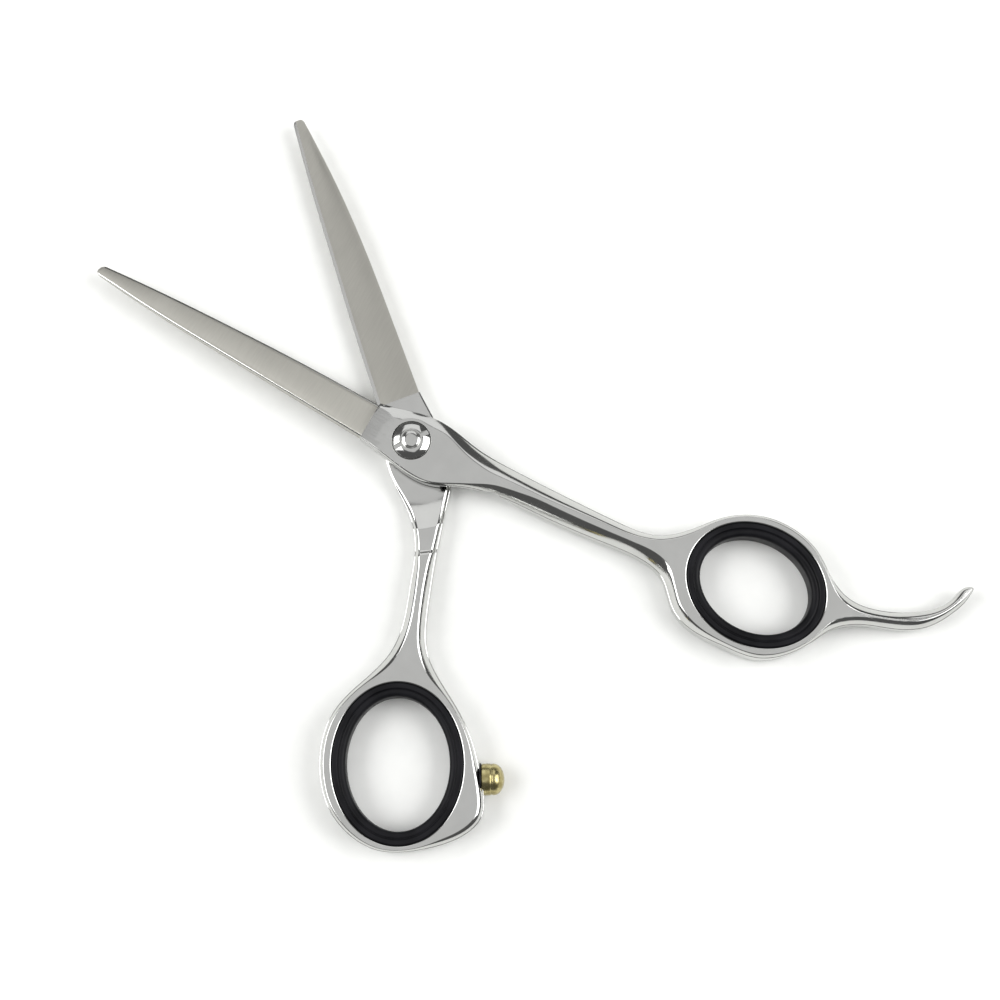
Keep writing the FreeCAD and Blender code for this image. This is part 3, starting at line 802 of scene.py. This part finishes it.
def stop_maker(profile, count=96):
    """A maker for a turned piece on the stop's axis."""
    turned_piece = lathe(profile, count, "X")
    place = Matrix.Translation((*STOP_SEAT, TOP / 2)) @ Matrix.Rotation(STOP_TURN, 4, "Z")

    def make(bm):
        turned_piece(bm)
        bmesh.ops.transform(bm, matrix=place, verts=bm.verts)

    return make


def build_stop(brass, rubber):
    """Brass bumper with a collar, a shallow groove and a domed cap, on its rubber washer."""
    seat, shoulder, tip = 0.3, 2.5, 4.45
    radius = 2.82
    collar = [(0.9, -2.4), (1.0, -2.3), (1.0, seat), (radius - 0.25, seat), (radius - 0.1, seat + 0.04)]
    collar += [(radius - 0.02, seat + 0.14), (radius, seat + 0.4), (radius, 1.85)]
    groove = [(radius - 0.04, 1.93), (radius - 0.08, 2.0), (radius - 0.1, 2.1), (radius - 0.08, 2.2)]
    groove += [(radius - 0.05, 2.28), (radius - 0.02, 2.4)]
    cap = []
    for turn in np.linspace(0, math.pi / 2, 16):
        cap.append(((radius - 0.02) * math.cos(turn), shoulder + (tip - shoulder) * math.sin(turn)))
    cap[-1] = (0.0, tip)
    profile = [(0.0, -2.4)] + collar + groove + cap
    new_object("bumper_skin", stop_maker(profile), [brass], "thumb_half", ["bumper"], turned=True)
    ring = [(1.06, 0.01), (2.84, 0.01)] + arc((2.84, 0.15), 0.12, -80, 80, 9) + [(2.84, 0.29), (1.06, 0.29)]
    new_object("bumper_washer_skin", stop_maker(ring), [rubber], "thumb_half",
               ["bumper_washer"], turned=True)


def paint_nodes(nylon_mat, spring_mat):
    """The small CAD pieces that stay, with their materials."""
    for name, mat in (("pivot_bush", nylon_mat), ("glide_washer", nylon_mat), ("ride_washer", nylon_mat),
                      ("spring_washer", spring_mat)):
        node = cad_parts[name]
        for slot in node.material_slots:
            slot.material = mat


# Surroundings

# Colour of the room, and the directions away from the viewer and to the viewer's right.
ROOM = (0.12, 0.12, 0.12)
VIEW_TURN = math.radians(28.6)
AWAY = Vector((-math.sin(VIEW_TURN), math.cos(VIEW_TURN), 0))
ACROSS = Vector((math.cos(VIEW_TURN), math.sin(VIEW_TURN), 0))


def build_camera():
    """The camera, looking down steeply from the near side."""
    data = bpy.data.cameras.new("camera")
    data.lens = 62.96
    data.sensor_width = 36.0
    data.clip_start = 0.01
    camera = bpy.data.objects.new("camera", data)
    camera.location = (0.04892, -0.05561, 0.31997)
    target = Vector((0.01943, -0.00151, 0.003))
    camera.rotation_euler = (target - camera.location).to_track_quat("-Z", "Y").to_euler()
    bpy.context.scene.collection.objects.link(camera)
    bpy.context.scene.camera = camera


def build_floor():
    """A wide white sheet under the shears."""
    bm = bmesh.new()
    bmesh.ops.create_grid(bm, x_segments=8, y_segments=8, size=4.0)
    bmesh.ops.translate(bm, verts=bm.verts, vec=(0, 0, -0.00005))
    mesh = bpy.data.meshes.new("floor")
    bm.to_mesh(mesh)
    bm.free()
    floor = bpy.data.objects.new("floor", mesh)
    bpy.context.scene.collection.objects.link(floor)
    mat, nodes, links, shader = material("white_sheet")
    paper = noise(nodes, links, object_coordinates(nodes, links, (1, 1, 1)), 300, 3)
    colour = tint(nodes, links, paper, (0.90, 0.905, 0.885), (0.92, 0.925, 0.905))
    links.new(colour, shader.inputs["Base Color"])
    shader.inputs["Roughness"].default_value = 0.7
    mesh.materials.append(mat)


def softbox(name, place, width, watts):
    """One square softbox, aimed at the shears."""
    lamp = bpy.data.lights.new(name, "AREA")
    lamp.shape = "SQUARE"
    lamp.size = width
    lamp.energy = watts
    lamp_object = bpy.data.objects.new(name, lamp)
    lamp_object.location = place
    lamp_object.rotation_euler = (-lamp_object.location).to_track_quat("-Z", "Y").to_euler()
    bpy.context.scene.collection.objects.link(lamp_object)


def build_light():
    """Plain studio light: a broad panel overhead, softboxes left, right and back, and a dim grey room."""
    up = Vector((0, 0, 1))
    softbox("overhead", up * 1.5, width=1.2, watts=3.0)
    for name, side, watts in (("left", -ACROSS, 13.5), ("right", ACROSS, 13.5), ("back", AWAY, 3.0)):
        softbox(name, side * 0.95 + up * 0.8, width=1.0, watts=watts)
    world = bpy.data.worlds.new("room")
    world.use_nodes = True
    background = world.node_tree.nodes["Background"]
    background.inputs["Color"].default_value = (*ROOM, 1)
    background.inputs["Strength"].default_value = 1.0
    bpy.context.scene.world = world
    bpy.context.scene.view_settings.view_transform = "Standard"


def build_everything():
    """The surroundings, then every piece."""
    build_camera()
    build_floor()
    build_light()
    polished, satin, rubber = polished_steel(), satin_steel(), black_rubber()
    build_levers(polished, satin)
    build_insert("finger_ring_liner", FINGER_RING, "finger_half", "finger_ring_insert", rubber, False)
    build_insert("thumb_ring_liner", THUMB_RING, "thumb_half", "thumb_ring_insert", rubber, True)
    build_screw(polished)
    build_nut(polished)
    build_stop(aged_brass(), rubber)
    paint_nodes(nylon(), spring_steel())


build_everything()
